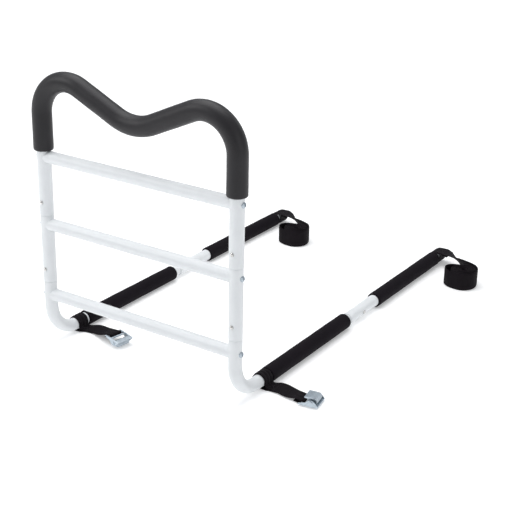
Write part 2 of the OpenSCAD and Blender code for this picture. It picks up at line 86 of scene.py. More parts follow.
# Buckles: place under the strap bar from the legs' plane, turns about +Y and +Z, turned over or not
BUCKLE_PLACE = {"left": (-112, 66, 18.9), "right": (296.3, 81.5, 1.6)}
BUCKLE_PITCH = {"left": 8, "right": -1}
BUCKLE_YAW = {"left": -10, "right": 10}
BUCKLE_OVER = {"left": True, "right": False}
STRAP_BAR_Z = 3.2
STRAP_BAR_D = 4.0
STRAP_BAR_W = 27.5
PIN_X, PIN_Z = 17.0, 8.0
NOSE_X, NOSE_Z = 20.5, 8.9
SHEET_T = 2.0

# Straps: width of the webbing, half its CAD thickness, and its clearance from what it lies round
WEBBING_W = 36.0
HALF_WEBBING = 0.8
LOOSE = 0.15

# Their rows in millimetres from the arm's axis on the floor: across, along, height, width, twist
FRONT_LOOP_Y = {"left": 70.0, "right": 85.0}
FRONT_LOOP_W = 25.0
REAR_LOOP_Y = {"left": 780.5, "right": 782.3}
REAR_LOOP_W = 34.0
SHORT_LAP = {
    "left": [(36, 14, 1, 34), (26, 13, 1, 34), (20, 10, 1.1, 32), (15, 6, 1.2, 30),
             (10, 1.5, 1.4, 26), (4, 0, 1.9, 25)],
    "right": [(36, 9, 1, 34), (26, 8, 1, 34), (20, 6, 1.1, 32), (15, 3, 1.2, 30),
              (10, 1, 1.4, 26), (4, 0, 1.9, 25)],
}
SHORT_ROUTE = {
    "left": [(13.8, 1, 7.5, 25), (16, 5, 4.3, 28), (20, 10, 2.9, 32), (26, 13, 2.7, 36),
             (36, 14, 2.9, 36), (48, 11.5, 4.3, 36), (61, 7, 7.8, 34), (73, 2, 12.4, 31),
             (83, -1.8, 16.2, 28)],
    "right": [(13.8, 1, 7.5, 25), (16, 3, 4.3, 28), (20, 6, 2.9, 32), (26, 8, 2.7, 36),
              (38, 8, 2.7, 36), (51, 5.5, 2.5, 36), (63, 2.4, 3.6, 33), (72.5, 0, 5.6, 29),
              (81, -2, 7.2, 26.5)],
}
SHORT_FLAP = {
    "left": [(86, -3, 13.0, 27), (76, 0.6, 9.6, 28)],
    "right": [(84, -2.6, 1.8, 27), (73, -0.4, 1.6, 28)],
}
LONG_LAP = [(31, -3, 25.0, 34), (22, -1, 26.0, 34), (15.4, 0, 24.6, 34), (13.6, 0, 20, 34)]
LONG_ROUTE = [(10, 0, 28.2, 34, 0), (20, -1, 27.9, 35, 0), (34, -7, 27, 36, 12),
              (48, -16, 25.6, 36, 28), (62, -24, 24.6, 36, 45), (77, -34.5, 23.8, 36, 61),
              (92, -44.5, 23.2, 36, 76), (105, -52.6, 23, 36, 86), (116.2, -59.4, 23, 36, 90)]
ROLL_PLACE = {"left": (100.0, 694.8), "right": (100.0, 696.6)}
ROLL_R = 29.0
ROLL_Z = 18.2
ROLL_TURNS = 13.6


# ---- settings -------------------------------------------------------------------------------


def length(name, text, default):
    return FloatProperty(name=name, description=text, default=default, min=0, unit="LENGTH",
                         precision=5)


def colour(name, text, default):
    return FloatVectorProperty(name=name, description=text, default=default, size=3,
                               subtype="COLOR", min=0, max=1)


class RailSizes(bpy.types.PropertyGroup):
    """Sizes of the soft pieces and the buckles."""

    shoulder_r: length("Shoulder radius", "Radius of the hand loop's two shoulders", 0.063)
    shoulder_z: length("Shoulder height", "Height of the middle of the shoulders", 0.443)
    dip_r: length("Dip radius", "Radius of the dip between the shoulders", 0.092)
    dip_slope: FloatProperty(name="Dip slope", description="Slope down from a shoulder",
                             default=np.radians(24.5), subtype="ANGLE")
    grip_end_round: length("Grip end rounding", "Rounding of the grip's two ends", 0.0026)
    sleeve_end_round: length("Sleeve end rounding", "Rounding of the sleeves' ends", 0.0025)
    webbing_t: length("Webbing thickness", "Thickness of the strap webbing", 0.0016)
    rib_pitch: length("Rib pitch", "Distance between the webbing's ribs", 0.0024)
    roll_pitch: length("Roll pitch", "Distance between the turns of a rolled strap", 0.00172)
    buckle_w: length("Buckle width", "Width over the buckle's side plates", 0.036)
    lever_w: length("Lever width", "Width of the cam lever", 0.026)


class RailColours(bpy.types.PropertyGroup):
    """Base colours of the finishes."""

    powder: colour("Powder coat", "White powder coat of the tubes", (0.765, 0.785, 0.80))
    grip: colour("Grip foam", "Foam of the hand grip", (0.0115, 0.0105, 0.0125))
    sleeve: colour("Sleeve foam", "Foam of the arm sleeves", (0.0050, 0.0034, 0.0056))
    webbing: colour("Webbing", "Woven straps", (0.0046, 0.0030, 0.0046))
    zinc: colour("Zinc plate", "Buckles and bolts", (0.47, 0.53, 0.58))
    nickel: colour("Nickel plate", "Snap buttons", (0.72, 0.71, 0.69))
    steel: colour("Spring steel", "Leaf springs and lever springs", (0.42, 0.42, 0.43))
    plastic: colour("Black plastic", "End plugs", (0.012, 0.012, 0.013))


def sizes():
    return bpy.context.scene.rail_sizes


def colours():
    return bpy.context.scene.rail_colours


# ---- shader maths ---------------------------------------------------------------------------


class Wire:
    """A shader socket. Arithmetic on wires adds Math nodes to its graph."""

    def __init__(self, graph, socket):
        self.graph = graph
        self.socket = socket

    def maths(self, operation, *values):
        return self.graph.add("ShaderNodeMath", {"operation": operation},
                              {i: v for i, v in enumerate(values)})

    def __add__(self, other):
        return self.maths("ADD", self, other)

    __radd__ = __add__

    def __sub__(self, other):
        return self.maths("SUBTRACT", self, other)

    def __rsub__(self, other):
        return self.maths("SUBTRACT", other, self)

    def __mul__(self, other):
        return self.maths("MULTIPLY", self, other)

    __rmul__ = __mul__

    def __truediv__(self, other):
        return self.maths("DIVIDE", self, other)

    def sine(self):
        return self.maths("SINE", self)

    def size(self):
        return self.maths("ABSOLUTE", self)

    def power(self, other):
        return self.maths("POWER", self, other)

    def floor(self):
        return self.maths("FLOOR", self)

    def modulo(self, other):
        return self.maths("FLOORED_MODULO", self, other)

    def ramp(self, low, high):
        """0 below low and 1 above high, with a smooth rise between."""
        return self.graph.add("ShaderNodeMapRange", {"interpolation_type": "SMOOTHSTEP"},
                              {"Value": self, "From Min": low, "From Max": high}, "Result")


class Graph:
    """The node tree of one finish, with a Principled shader at its end."""

    def __init__(self, name, **constants):
        self.material = bpy.data.materials.new(name)
        self.material.use_nodes = True
        self.tree = self.material.node_tree
        self.tree.nodes.clear()
        out = self.tree.nodes.new("ShaderNodeOutputMaterial")
        self.shader = self.tree.nodes.new("ShaderNodeBsdfPrincipled")
        self.tree.links.new(self.shader.outputs[0], out.inputs["Surface"])
        for socket, value in constants.items():
            self.shader.inputs[socket.replace("_", " ")].default_value = value

    def put(self, socket, value):
        if isinstance(value, Wire):
            self.tree.links.new(value.socket, socket)
        elif hasattr(value, "__len__") and len(value) == 3 and socket.type == "RGBA":
            socket.default_value = (*value, 1)
        else:
            socket.default_value = value

    def add(self, kind, settings=None, values=None, output=0):
        """A node of a kind: its settings are set first, then its sockets' values or links."""
        node = self.tree.nodes.new(kind)
        for key, value in (settings or {}).items():
            setattr(node, key, value)
        for key, value in (values or {}).items():
            self.put(node.inputs[key], value)
        return Wire(self, node.outputs[output])

    def place(self):
        return self.add("ShaderNodeTexCoord", output="Object")

    def uv(self):
        """The piece's own map, across and along, in millimetres."""
        both = self.add("ShaderNodeTexCoord", output="UV")
        split = self.tree.nodes.new("ShaderNodeSeparateXYZ")
        self.put(split.inputs[0], both)
        return Wire(self, split.outputs[0]) * 1000, Wire(self, split.outputs[1]) * 1000

    def noise(self, scale, detail=2.0, roughness=0.5):
        return self.add("ShaderNodeTexNoise", None,
                        {"Vector": self.place(), "Scale": scale, "Detail": detail,
                         "Roughness": roughness}, "Fac")

    def cells(self, scale):
        return self.add("ShaderNodeTexVoronoi", {"feature": "F1"},
                        {"Vector": self.place(), "Scale": scale}, "Distance")

    def blend(self, mask, first, second):
        """The first colour where mask is 0 and the second where it is 1."""
        return self.add("ShaderNodeMix", {"data_type": "RGBA"}, {0: mask, 6: first, 7: second}, 2)

    def finish(self, colour, roughness, heights=()):
        """Links what varies; heights are (wire, distance in metres, strength), laid in turn."""
        self.put(self.shader.inputs["Base Color"], colour)
        self.put(self.shader.inputs["Roughness"], roughness)
        normal = None
        for wire, distance, strength in heights:
            values = {"Height": wire, "Distance": distance, "Strength": strength}
            if normal is not None:
                values["Normal"] = normal
            normal = self.add("ShaderNodeBump", None, values, "Normal")
        if normal is not None:
            self.put(self.shader.inputs["Normal"], normal)
        return self.material


def shade(colour, factor):
    return tuple(min(1.0, c * factor) for c in colour)


# ---- finishes -------------------------------------------------------------------------------


def powder_coat():
    """White powder coat: fine orange peel, faint patches of gloss and handling marks."""
    g = Graph("white_powder_coat", IOR=1.45, Coat_Weight=0.12, Coat_Roughness=0.26)
    white = colours().powder
    patches = g.noise(38, 3)
    marks = g.noise(210, 5, 0.7).ramp(0.60, 0.74) * g.noise(17, 2).ramp(0.45, 0.7)
    tint = g.blend(patches.ramp(0.3, 0.7), shade(white, 0.965), white)
    tint = g.blend(marks * 0.35, tint, (0.50, 0.51, 0.53))
    peel = g.noise(620, 2)
    return g.finish(tint, 0.36 + 0.1 * patches + 0.18 * marks,
                    [(peel, 0.0003, 0.12), (g.noise(60, 2), 0.0006, 0.05)])


def grip_foam():
    """Closed-cell grip foam: a skinned, softly shining surface over shallow cells."""
    g = Graph("grip_foam", IOR=1.4, Sheen_Weight=0.02, Sheen_Roughness=0.4)
    dark = colours().grip
    cells = g.cells(950)
    patches = g.noise(26, 4, 0.6)
    tint = g.blend(patches.ramp(0.32, 0.72), shade(dark, 0.86), shade(dark, 1.16))
    tint = g.blend(cells.ramp(0.35, 0.75) * 0.5, tint, shade(dark, 1.5))
    return g.finish(tint, 0.40 + 0.12 * patches,
                    [(g.noise(75, 3), 0.0010, 0.10), (cells, 0.00022, 0.30),
                     (g.noise(2400, 2), 0.00008, 0.35)])


def sleeve_foam():
    """Matte sleeve foam: open, finely pitted surface."""
    g = Graph("sleeve_foam", IOR=1.2, Sheen_Weight=0.01, Sheen_Roughness=0.5)
    dark = colours().sleeve
    pits = g.cells(760)
    patches = g.noise(30, 4, 0.6)
    tint = g.blend(patches.ramp(0.3, 0.7), shade(dark, 0.8), shade(dark, 1.25))
    tint = g.blend(pits.ramp(0.3, 0.8) * 0.6, tint, shade(dark, 1.8))
    return g.finish(tint, 0.72 + 0.16 * patches,
                    [(g.noise(60, 3), 0.0012, 0.12), (pits, 0.0004, 0.55),
                     (g.noise(2100, 3), 0.00012, 0.5)])


def webbing_weave(g):
    """Height of ribbed webbing: ribs along the strap, each crossed by picks set half a pitch
    apart from its neighbour's, all as sines of the map's millimetres."""
    across, along = g.uv()
    pitch = sizes().rib_pitch * 1000
    column = across / pitch
    rib = (column * np.pi).sine().size()
    parity = column.floor().modulo(2.0)
    pick = ((along / 1.5 + parity * 0.5) * (2 * np.pi)).sine() * 0.5 + 0.5
    return rib.power(0.6) * (pick * 0.55 + 0.45)


def webbing():
    """Woven polypropylene: ribs, picks, lint, painted light on crowns and painted shade in valleys.
    """
    g = Graph("webbing", IOR=1.22, Sheen_Weight=0.02, Sheen_Roughness=0.4)
    dark = colours().webbing
    weave = webbing_weave(g)
    wear = g.noise(34, 4, 0.6)
    # Painted light and shade: the weave's crowns lighter and its valleys darker, by the weave's
    # height
    tint = g.blend(weave, shade(dark, 0.55), shade(dark, 1.7))
    tint = g.blend(wear.ramp(0.45, 0.8) * 0.3, tint, shade(dark, 3.0))
    return g.finish(tint, 0.84 - 0.26 * weave + 0.08 * wear,
                    [(g.noise(45, 3), 0.0010, 0.25), (weave, 0.0005, 0.75),
                     (g.noise(1900, 2), 0.00012, 0.4)])


def thread():
    """Twisted sewing thread."""
    g = Graph("sewing_thread", IOR=1.42, Sheen_Weight=0.08, Sheen_Roughness=0.4)
    dark = colours().webbing
    strands = g.noise(1500, 2)
    tint = g.blend(strands, shade(dark, 2.0), shade(dark, 3.6))
    return g.finish(tint, 0.55 + 0.2 * strands, [(strands, 0.0002, 0.5)])


def zinc_plate(name, bright, dull, rough, base):
    """Zinc plate on pressed steel: cloudy crystals, tumbling marks and duller patches."""
    g = Graph(name, Metallic=1.0)
    clouds = g.noise(120, 4, 0.65)
    marks = g.noise(900, 3, 0.7)
    tint = g.blend(clouds.ramp(0.3, 0.7), shade(base, dull), shade(base, bright))
    tint = g.blend(marks.ramp(0.62, 0.8) * 0.4, tint, shade(base, 0.55))
    return g.finish(tint, rough + 0.2 * clouds + 0.1 * marks,
                    [(clouds, 0.0003, 0.12), (marks, 0.00008, 0.35)])


def nickel():
    """Bright nickel with faint polishing marks."""
    g = Graph("bright_nickel", Metallic=1.0)
    base = colours().nickel
    marks = g.noise(1400, 3, 0.6)
    return g.finish(g.blend(marks, shade(base, 0.85), base), 0.14 + 0.16 * marks,
                    [(marks, 0.00005, 0.3)])


def spring_steel():
    """Oiled spring steel, faintly streaked."""
    g = Graph("spring_steel", Metallic=1.0)
    base = colours().steel
    streaks = g.noise(520, 4, 0.7)
    return g.finish(g.blend(streaks, shade(base, 0.7), shade(base, 1.1)), 0.28 + 0.2 * streaks,
                    [(streaks, 0.00008, 0.3)])


def black_plastic():
    """Moulded plastic: fine spark-eroded texture and slight clouding."""
    g = Graph("black_plastic", IOR=1.5)
    base = colours().plastic
    grain = g.noise(1300, 3)
    clouds = g.noise(70, 3)
    return g.finish(g.blend(clouds, shade(base, 0.8), shade(base, 1.5)), 0.42 + 0.2 * grain,
                    [(grain, 0.00012, 0.4)])


def make_finishes():
    """The finish of each material slot, by the slot's name in the record."""
    zinc = tuple(colours().zinc)
    return {
        "white_tube": powder_coat(),
        "grip_foam": grip_foam(),
        "sleeve_foam": sleeve_foam(),
        "webbing": webbing(),
        "thread": thread(),
        "black_plastic": black_plastic(),
        "zinc_steel": zinc_plate("zinc_bolts", 1.05, 0.9, 0.2, zinc),
        "buckle_steel": zinc_plate("zinc_buckles", 1.15, 0.92, 0.24, zinc),
        "bright_steel": nickel(),
        "spring_steel": spring_steel(),
    }


FINISH = {}

# ---- surfaces -------------------------------------------------------------------------------


def grid_faces(rows, columns, wrap_rows=False, wrap_columns=True):
    """Four-sided faces of a grid of points, numbered row by row."""
    i = np.arange(rows if wrap_rows else rows - 1)[:, None]
    j = np.arange(columns if wrap_columns else columns - 1)[None, :]
    ni, nj = (i + 1) % rows, (j + 1) % columns
    faces = np.stack(np.broadcast_arrays(i * columns + j, i * columns + nj,
                                         ni * columns + nj, ni * columns + j), axis=-1)
    return faces.reshape(-1, 4)


def volume(points, faces):
    """Signed volume inside faces: the sum over their triangles of a . (b x c) / 6."""
    total = 0.0
    for face_set in faces:
        p = points[np.asarray(face_set)]
        for k in range(1, p.shape[1] - 1):
            total += np.einsum("ij,ij->i", p[:, 0], np.cross(p[:, k], p[:, k + 1])).sum() / 6
    return total


class Shell:
    """Closed surfaces that end up in one mesh."""

    def __init__(self):
        self.points, self.faces, self.maps, self.count = [], [], [], 0

    def add(self, points, faces, maps=None):
        """Points (n, 3) in metres, and faces as a list of arrays of equal-sided faces."""
        points = np.asarray(points, float)
        if volume(points, faces) < 0:
            faces = [np.asarray(f)[:, ::-1] for f in faces]
        self.faces += [(np.asarray(f) + self.count).tolist() for f in faces]
        self.points.append(points)
        self.maps.append(np.zeros((len(points), 2)) if maps is None else np.asarray(maps))
        self.count += len(points)

    def piece(self, name, finish, sharp_above=None, bevel=0):
        """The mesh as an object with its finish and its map."""
        points = np.vstack(self.points)
        mesh = bpy.data.meshes.new(name)
        mesh.from_pydata(points.tolist(), [], [f for group in self.faces for f in group])
        mesh.validate()
        loops = np.empty(len(mesh.loops), dtype=np.int32)
        mesh.loops.foreach_get("vertex_index", loops)
        layer = mesh.uv_layers.new(name="UVMap")
        layer.data.foreach_set("uv", np.vstack(self.maps)[loops].astype(np.float32).ravel())
        mesh.materials.append(FINISH[finish])
        mesh.shade_smooth()
        obj = bpy.data.objects.new(name, mesh)
        bpy.context.scene.collection.objects.link(obj)
        if bevel:
            modifier = obj.modifiers.new("bevel", "BEVEL")
            modifier.width = bevel
            modifier.segments = 2
            modifier.limit_method = "ANGLE"
            modifier.angle_limit = np.radians(35)
            modifier.harden_normals = True
        elif sharp_above:
            mesh.set_sharp_from_angle(angle=np.radians(sharp_above))
        return obj


def unit(v):
    return v / np.linalg.norm(v, axis=-1, keepdims=True)


def ring_rows(centres, first, second, radii, sides):
    """Rings: centre + radius (first cos a + second sin a), for a round the circle."""
    a = np.linspace(0, 2 * np.pi, sides, endpoint=False)
    spokes = (first[:, None, :] * np.cos(a)[None, :, None]
              + second[:, None, :] * np.sin(a)[None, :, None])
    return centres[:, None, :] + radii[:, None, None] * spokes


def end_profile(reach, outer, rounding, steps=6):
    """The rounded rims at a foam tube's two ends, as distance along and radius: each is a
    quarter circle of the rounding's radius."""
    q = np.linspace(0, np.pi / 2, steps)
    start = np.c_[rounding * (1 - np.cos(q)), outer - rounding * (1 - np.sin(q))]
    end = np.c_[reach - start[::-1, 0], start[::-1, 1]]
    return start, end


def foam_tube(path, across, reach, bore, outer, rounding, spacing, sides=64, waver=0.0):
    """A closed foam tube along a path: its outside, its rounded ends and its bore.

    path and across give, for distances along it, the middle line and one direction square to it.
    """
    start, end = end_profile(reach, outer, rounding)
    along = np.linspace(start[-1, 0], end[0, 0], max(2, int(reach / spacing)))[1:-1]
    swell = waver * (np.sin(along * 61 + 1.3) + 0.6 * np.sin(along * 143 + 0.4))
    inner_along = np.linspace(reach, 0, max(2, int(reach / spacing / 2)))
    at = np.concatenate([start[:, 0], along, end[:, 0], inner_along])
    radii = np.concatenate([start[:, 1], outer + swell, end[:, 1], np.full(len(inner_along), bore)])
    centres, tangents = path(at)
    first = np.broadcast_to(across, centres.shape)
    second = unit(np.cross(tangents, first))
    rings = ring_rows(centres, first, second, radii, sides)
    points = rings.reshape(-1, 3)
    a = np.linspace(0, 2 * np.pi, sides, endpoint=False)
    maps = np.stack(np.broadcast_arrays(at[:, None], a[None, :] * outer), axis=-1).reshape(-1, 2)
    return points, [grid_faces(len(rings), sides, wrap_rows=True)], maps


def capped_tube(centres, radii, sides=16, up=(0, 0, 1)):
    """A closed round bar along points: rings square to the path, and a fan at each end."""
    centres = np.asarray(centres, float)
    tangents = unit(np.gradient(centres, axis=0))
    first = unit(np.cross(tangents, np.broadcast_to(up, tangents.shape)))
    second = np.cross(tangents, first)
    rings = ring_rows(centres, first, second, np.broadcast_to(radii, len(centres)), sides)
    points = np.vstack([rings.reshape(-1, 3), centres[:1], centres[-1:]])
    j = np.arange(sides)
    nj = (j + 1) % sides
    last = (len(centres) - 1) * sides
    fan = np.vstack([np.c_[nj, j, np.full(sides, len(points) - 2)],
                     np.c_[last + j, last + nj, np.full(sides, len(points) - 1)]])
    return points, [grid_faces(len(centres), sides), fan]


def prism(outline, low, high):
    """A flat outline in the x-z plane carried along y from low to high."""
    outline = np.asarray(outline, float)
    n = len(outline)
    both = [np.c_[outline[:, 0], np.full(n, y), outline[:, 1]] for y in (low, high)]
    j = np.arange(n)
    nj = (j + 1) % n
    return np.vstack(both), [np.c_[j, nj, nj + n, j + n], j[None, ::-1], (j + n)[None, :]]


def cut_corners(outline, rounds=2, share=0.25):
    """A closed outline with each corner cut at a share of its sides, again and again."""
    p = np.asarray(outline, float)
    for _ in range(rounds):
        after = np.roll(p, -1, axis=0)
        p = np.stack([p + share * (after - p), after - share * (after - p)], axis=1).reshape(-1, 2)
    return p


# ---- foam -----------------------------------------------------------------------------------


def loop_path():
    """The hand loop's middle line, as a function of the distance from the grip's left end:
    leg, shoulder arc, slope, dip arc, and the same mirrored."""
    s = sizes()
    low = box("hand_grip")[0][2]
    slope = s.dip_slope
    turn = np.pi / 2 + slope
    start_x = LEG_X - s.shoulder_r
    slope_x = start_x - s.shoulder_r * np.sin(slope)
    slope_z = s.shoulder_z + s.shoulder_r * np.cos(slope)
    dip_x = s.dip_r * np.sin(slope)
    dip_z = slope_z - (slope_x - dip_x) * np.tan(slope) + s.dip_r * np.cos(slope)
    leg_z = np.linspace(low, s.shoulder_z, 12)[:-1]
    a = np.linspace(0, turn, 60)
    b = np.linspace(np.pi / 2 - slope, np.pi / 2, 30)[1:]
    slope_t = np.linspace(0, 1, 20)[1:]
    right = np.vstack([
        np.c_[np.full(len(leg_z), LEG_X), leg_z],
        np.c_[start_x + s.shoulder_r * np.cos(a), s.shoulder_z + s.shoulder_r * np.sin(a)],
        np.c_[slope_x + (dip_x - slope_x) * slope_t,
              slope_z - (slope_x - dip_x) * np.tan(slope) * slope_t],
        np.c_[s.dip_r * np.cos(b), dip_z - s.dip_r * np.sin(b)],
    ])
    line = np.vstack([right * (-1, 1), right[-2::-1]])
    at = np.concatenate([[0], np.cumsum(np.linalg.norm(np.diff(line, axis=0), axis=1))])
    heading = np.gradient(line, at, axis=0)

    def path(distance):
        x, z = (np.interp(distance, at, line[:, k]) for k in (0, 1))
        tx, tz = (np.interp(distance, at, heading[:, k]) for k in (0, 1))
        y = np.full(len(x), LEG_Y)
        return np.c_[x, y, z], unit(np.c_[tx, np.zeros(len(x)), tz])

    return path, at[-1]


def build_grip():
    """The foam grip over the whole hand loop, its radius wavering a little along its length."""
    path, reach = loop_path()
    low, high = box("hand_grip")
    shell = Shell()
    shell.add(*foam_tube(path, (0.0, 1.0, 0.0), reach, LOOP_TUBE_R + 0.05 * MM,
                         (high[1] - low[1]) / 2, sizes().grip_end_round, 0.004, 72, 0.00008))
    grip = shell.piece("hand_grip_foam", "grip_foam")
    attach(grip, "root")
    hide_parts("hand_grip")


def build_sleeves():
    """The four foam sleeves on the arms."""
    for side in SIDES:
        for part in ("front", "rear"):
            node = f"{side}_{part}_sleeve"
            low, high = box(node)
            centre = (low + high) / 2
            reach = high[1] - low[1]

            def path(distance, centre=centre, low=low):
                n = len(distance)
                return (np.c_[np.full(n, centre[0]), low[1] + distance, np.full(n, centre[2])],
                        np.tile((0.0, 1.0, 0.0), (n, 1)))

            shell = Shell()
            shell.add(*foam_tube(path, (1.0, 0.0, 0.0), reach, ARM_R[part] + 0.03 * MM,
                                 (high[0] - low[0]) / 2, sizes().sleeve_end_round, 0.004, 56,
                                 0.00010))
            sleeve = shell.piece(f"{node}_foam", "sleeve_foam")
            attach(sleeve, "root")
            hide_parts(node)


# ---- straps ---------------------------------------------------------------------------------


def smooth_rows(rows, per_span=8):
    """Rows of numbers joined by the cubic that passes each with its neighbours' mean slope."""
    rows = np.asarray(rows, float)
    p = np.vstack([2 * rows[0] - rows[1], rows, 2 * rows[-1] - rows[-2]])
    a, b, c, d = p[:-3], p[1:-2], p[2:-1], p[3:]
    t = np.linspace(0, 1, per_span, endpoint=False)[:, None, None]
    curve = 0.5 * (2 * b + (c - a) * t + (2 * a - 5 * b + 4 * c - d) * t**2
                   + (3 * b - a - 3 * c + d) * t**3)
    return np.vstack([curve.transpose(1, 0, 2).reshape(-1, rows.shape[1]), rows[-1:]])


def even_rows(rows, step):
    """The same rows at even steps of length, with the length so far as a last column."""
    gaps = np.linalg.norm(np.diff(rows[:, :3], axis=0), axis=1)
    at = np.concatenate([[0], np.cumsum(gaps)])
    new = np.linspace(0, at[-1], int(at[-1] / step) + 1)
    return np.column_stack([np.interp(new, at, rows[:, k]) for k in range(rows.shape[1])] + [new])


def flat(points):
    """Rows (x, y, z, direction of the width, width) for webbing that isn't twisted."""
    return [(x, y, z, 0, 1, 0, w) for x, y, z, w in points]


def loop_rows(start, stop, width):
    """The loop round an arm: a circle through angles from +X towards +Z."""
    radius = ARM_R["front"] / MM + LOOSE + HALF_WEBBING
    step = 15 * np.sign(stop - start)
    a = np.radians(np.arange(start, stop + step / 2, step))
    return [(radius * np.cos(t), 0, ARM_Z * 1000 + radius * np.sin(t), 0, 1, 0, width) for t in a]


def buckle_matrix(side):
    """Turn of a buckle: half a turn about X if it lies upside down, then pitch, then yaw."""
    p, y = np.radians((BUCKLE_PITCH[side], BUCKLE_YAW[side]))
    pitch = np.array([[np.cos(p), 0, np.sin(p)], [0, 1, 0], [-np.sin(p), 0, np.cos(p)]])
    yaw = np.array([[np.cos(y), -np.sin(y), 0], [np.sin(y), np.cos(y), 0], [0, 0, 1]])
    return yaw @ pitch, np.diag([1, -1, -1]) if BUCKLE_OVER[side] else np.eye(3)


def strap_surface(rows, thickness, creases):
    """Webbing along rows in millimetres: a flat, round-edged section of 28 points, laid across
    the path as each row says. Creases lift it off its middle, outward only."""
    centre, width, at = rows[:, :3], rows[:, 6], rows[:, 7]
    tangent = unit(np.gradient(centre, axis=0))
    across = unit(rows[:, 3:6])
    normal = unit(np.cross(tangent, across))
    half = np.linspace(-1, 1, 13)
    edge = np.sqrt(np.clip(1 - np.abs(half) ** 24, 0, 1)) * 0.5
    u = np.concatenate([half, [1.012], half[::-1], [-1.012]])
    v = np.concatenate([edge + 0.06, [0], -edge[::-1] - 0.06, [0]])
    v[[0, 12, 14, 26]] = (0.3, 0.3, -0.3, -0.3)
    lift = creases(u[None, :], at[:, None])
    points = (centre[:, None, :] + across[:, None, :] * (u[None, :] * width[:, None] / 2)[..., None]
              + normal[:, None, :] * (v[None, :] * thickness + lift)[..., None])
    n, m = len(rows), len(u)
    maps = np.stack(np.broadcast_arrays(u[None, :] * WEBBING_W / 2, at[:, None]), axis=-1)
    faces = [grid_faces(n, m), np.arange(m)[None, ::-1], (np.arange(m) + (n - 1) * m)[None, :]]
    line = (centre, across, normal, width, at)
    return points.reshape(-1, 3), faces, maps.reshape(-1, 2) * MM, line


def in_metres(points):
    """Millimetres from the legs' plane to the frame's metres."""
    return (np.asarray(points, float) + (0, LEG_Y * 1000, 0)) * MM


def stitches(shell, strap, marks, height):
    """Stitches on a strap: small bars along lines between two points, each given as share across
    and millimetres along, and lifted off the middle of the webbing by height."""
    pitch, thread_r = 3.4, 0.34
    centre, across, normal, width, at = strap
    for (u0, s0), (u1, s1) in marks:
        span = np.hypot((u1 - u0) * 15, s1 - s0)
        count = max(1, int(span / pitch))
        for k in range(count):
            t = (k + np.array([0.08, 0.25, 0.5, 0.75, 0.82])) / count
            u, s = u0 + (u1 - u0) * t, s0 + (s1 - s0) * t
            c, a, n = (np.column_stack([np.interp(s, at, f[:, j]) for j in range(3)])
                       for f in (centre, across, normal))
            w = np.interp(s, at, width)
            dip = np.array([-0.5, 0.18, 0.3, 0.18, -0.5])
            line = c + a * (u * w / 2)[:, None] + n * (height + dip)[:, None]
            shell.add(*capped_tube(in_metres(line), thread_r * MM, 6))


def box_stitch(u, start, stop):
    """The lines of a sewn box with a cross in it."""
    a, b, c, d = (-u, start), (u, start), (u, stop), (-u, stop)
    return [(a, b), (b, c), (c, d), (d, a), (a, c), (b, d)]


def short_strap(side):
    """Lap, loop round the arm, floor part, fold over the buckle's bar, and the end beneath."""
    turn, _ = buckle_matrix(side)
    place = np.array(BUCKLE_PLACE[side], float)
    bar_z = -STRAP_BAR_Z if BUCKLE_OVER[side] else STRAP_BAR_Z
    r = STRAP_BAR_D / 2 + LOOSE + HALF_WEBBING
    a = np.radians(np.arange(120, -91, -30))
    local = [(r * np.cos(t), 0, bar_z + r * np.sin(t)) for t in a]
    width_way = turn @ (0, 1, 0)
    bar = [(*(place + turn @ p), *width_way, STRAP_BAR_W) for p in local]
    shift = np.array([SIGN[side] * LEG_X * 1000, FRONT_LOOP_Y[side], 0, 0, 0, 0, 0])
    body = np.array(flat(SHORT_LAP[side]) + loop_rows(255, -15, FRONT_LOOP_W)
                    + flat(SHORT_ROUTE[side]), float)
    return np.vstack([body + shift, bar, np.array(flat(SHORT_FLAP[side]), float) + shift])


def long_strap(side):
    """Lap, loop round the arm's end, twisting run, and the roll: a circle whose radius shrinks by
    a pitch each turn. Its outermost turn bulges away by a squared cosine, and comes down from the
    run by a bell curve."""
    pitch = sizes().roll_pitch * 1000
    run = [(x, y, z, 0, np.cos(np.radians(t)), -np.sin(np.radians(t)), w)
           for x, y, z, w, t in LONG_ROUTE]
    body = np.array(flat(LONG_LAP) + loop_rows(0, -270, REAR_LOOP_W) + run, float)
    body += (SIGN[side] * LEG_X * 1000, REAR_LOOP_Y[side], 0, 0, 0, 0, 0)
    phase = {"left": 0.4, "right": 2.1}[side]
    first = 57.6
    t = np.arange(10, ROLL_TURNS * 360, 6.0)
    angle = np.radians(first - t)
    away = np.cos(np.radians(np.clip((t - first - 168) * 1.25, -90, 90))) ** 2
    radius = ROLL_R - HALF_WEBBING - pitch * t / 360
    radius *= 1 + 0.03 * np.cos(2 * angle - phase) * np.clip(t / 360, 0, 1)
    radius += 11.5 * away * (t < 360)
    radius += 1.7 * np.exp(-(t / 80) ** 2)
    slip = 0.7 * (1 + np.sin(t / 190 + phase)) + 0.35 * (1 + np.sin(t / 47 + phase))
    slip *= np.clip((t - 300) / 200, 0, 1)
    slip += 2.2 * away * (t < 360) + 4.8 * np.exp(-(t / 75) ** 2)
    n = len(t)
    roll = np.column_stack([
        SIGN[side] * LEG_X * 1000 + ROLL_PLACE[side][0] + radius * np.cos(angle),
        ROLL_PLACE[side][1] + radius * np.sin(angle), ROLL_Z + slip,
        np.zeros(n), np.zeros(n), -np.ones(n), np.full(n, WEBBING_W)])
    return body, roll


